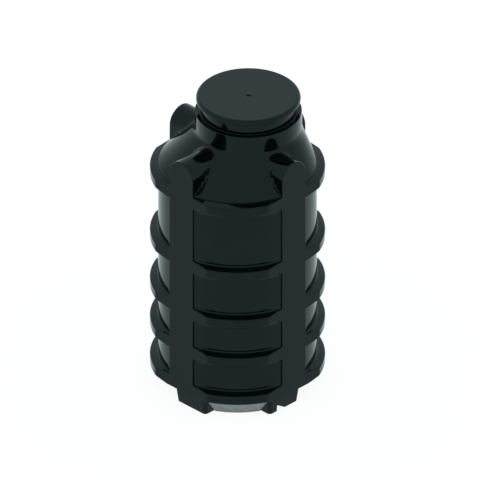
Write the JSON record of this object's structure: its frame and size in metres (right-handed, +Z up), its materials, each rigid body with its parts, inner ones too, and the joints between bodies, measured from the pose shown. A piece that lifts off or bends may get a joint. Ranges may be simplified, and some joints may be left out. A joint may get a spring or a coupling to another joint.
{
  "type": "water meter chamber",
  "caption": "Round moulded tank with flat pipe strips, stiffening hoops, an offset neck and a lift-off lid, to house a water meter below ground.",
  "frame": {"origin": "on the tank's axis, at the level that its feet stand on", "axes": "+Z up; the flats face along X and Y, and the neck is offset towards +Y"},
  "size_m": [0.602, 0.602, 1.213],
  "materials": {
    "tank_polyethylene": "moulded, smooth and glossy black",
    "lid_polyethylene": "moulded, smooth black",
    "seal_rubber": "moulded rubber"
  },
  "bodies": {
    "chamber": {"base_floor": "tank_polyethylene", "front_wall_panel": "tank_polyethylene", "right_wall_panel": "tank_polyethylene", "back_wall_panel": "tank_polyethylene", "left_wall_panel": "tank_polyethylene", "south_pipe_pad": "tank_polyethylene", "east_pipe_pad": "tank_polyethylene", "north_pipe_pad": "tank_polyethylene", "west_pipe_pad": "tank_polyethylene", "hoop_1": "tank_polyethylene", "hoop_2": "tank_polyethylene", "hoop_3": "tank_polyethylene", "hoop_4": "tank_polyethylene", "hoop_5": "tank_polyethylene", "front_shoulder": "tank_polyethylene", "right_shoulder": "tank_polyethylene", "back_shoulder": "tank_polyethylene", "left_shoulder": "tank_polyethylene", "neck_ring": "tank_polyethylene", "neck_ledge": "tank_polyethylene", "neck_collar": "tank_polyethylene", "seal_ring": "seal_rubber", "south_foot": "tank_polyethylene", "east_foot": "tank_polyethylene", "north_foot": "tank_polyethylene", "west_foot": "tank_polyethylene", "front_skirt": "tank_polyethylene", "back_skirt": "tank_polyethylene"},
    "lid": {"lid_cover": "lid_polyethylene", "lid_skirt": "lid_polyethylene", "lid_button": "lid_polyethylene"}
  },
  "joints": [
    {"name": "lid_lift", "type": "slide", "parent": "chamber", "child": "lid", "axis": [0, 0, 1], "range_m": [0, 0.35]}
  ]
}
